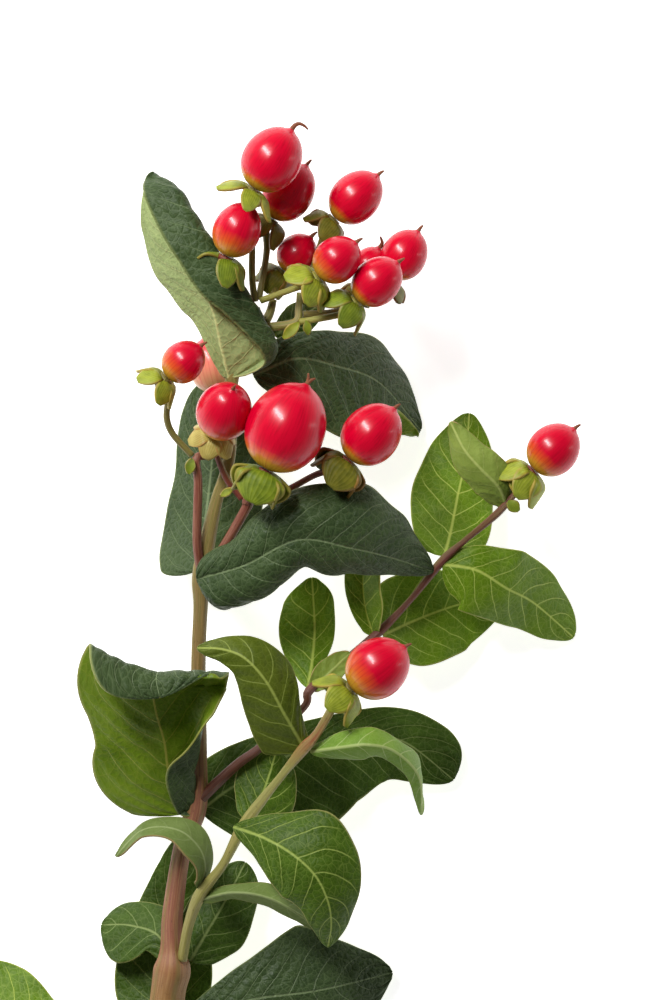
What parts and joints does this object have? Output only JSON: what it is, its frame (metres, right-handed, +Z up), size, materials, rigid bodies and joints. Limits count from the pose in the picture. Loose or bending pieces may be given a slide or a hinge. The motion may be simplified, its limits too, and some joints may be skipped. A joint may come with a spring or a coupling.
{
  "type": "hypericum berry stem",
  "caption": "Cut hypericum stem lying on a surface: branched woody stem with opposite oval leaves and glossy red egg-shaped berries in green calyxes",
  "frame": {"origin": "middle of the sprig's footprint, on the surface it lies on", "axes": "+Z up from the surface, +Y along the stem from its cut end to the top berries, +X to the viewer's right"},
  "size_m": [0.1142, 0.1796, 0.0443],
  "materials": {
    "stem": "smooth olive-brown bark with fine ridges along it, matte",
    "shoot": "smooth red-brown young bark, slightly satin",
    "leaf_dark": "dark green leaf with a fine sunken net of veins, waxy satin; paler and matte beneath",
    "leaf_bright": "young yellow-green leaf with pale veins, satin",
    "calyx": "yellow-green sepals with fine lines along them, satin",
    "berry": "glossy crimson skin, orange where it meets the calyx, with a brown dried style"
  },
  "bodies": {
    "root": {"main_stem": "stem", "right_shoot": "shoot", "lower_shoot": "stem", "berry_01": "berry", "berry_02": "berry", "berry_03": "berry", "berry_04": "berry", "berry_05": "berry", "berry_06": "berry", "berry_07": "berry", "berry_08": "berry", "berry_09": "berry", "berry_10": "berry", "berry_11": "berry", "berry_12": "berry", "berry_13": "berry", "berry_14": "berry", "berry_15": "berry", "berry_16": "berry", "calyx_01": "calyx", "calyx_02": "calyx", "calyx_03": "calyx", "calyx_04": "calyx", "calyx_05": "calyx", "calyx_06": "calyx", "calyx_07": "calyx", "calyx_08": "calyx", "calyx_09": "calyx", "calyx_10": "calyx", "calyx_11": "calyx", "calyx_12": "calyx", "calyx_13": "calyx", "calyx_14": "calyx", "calyx_15": "calyx", "calyx_16": "calyx", "leaf_top_left": "leaf_dark", "leaf_top_right": "leaf_dark", "leaf_mid_left": "leaf_dark", "leaf_mid_right": "leaf_dark", "leaf_right_upper": "leaf_bright", "leaf_right_folded": "leaf_bright", "leaf_right_large": "leaf_bright", "leaf_right_lower": "leaf_bright", "leaf_right_inner": "leaf_bright", "leaf_shoot_upright": "leaf_bright", "leaf_shoot_pale": "leaf_bright", "leaf_shoot_left": "leaf_dark", "leaf_shoot_right": "leaf_bright", "leaf_shoot_back": "leaf_bright", "leaf_shoot_front": "leaf_bright", "leaf_shoot_curly": "leaf_bright", "leaf_shoot_narrow": "leaf_bright", "leaf_fork_left": "leaf_dark", "leaf_fork_right": "leaf_dark", "leaf_low_left": "leaf_dark", "leaf_low_right": "leaf_dark", "leaf_low_back": "leaf_dark", "leaf_low_large_right": "leaf_dark", "leaf_low_large_left": "leaf_dark", "leaf_top_back": "leaf_dark"}
  },
  "joints": []
}
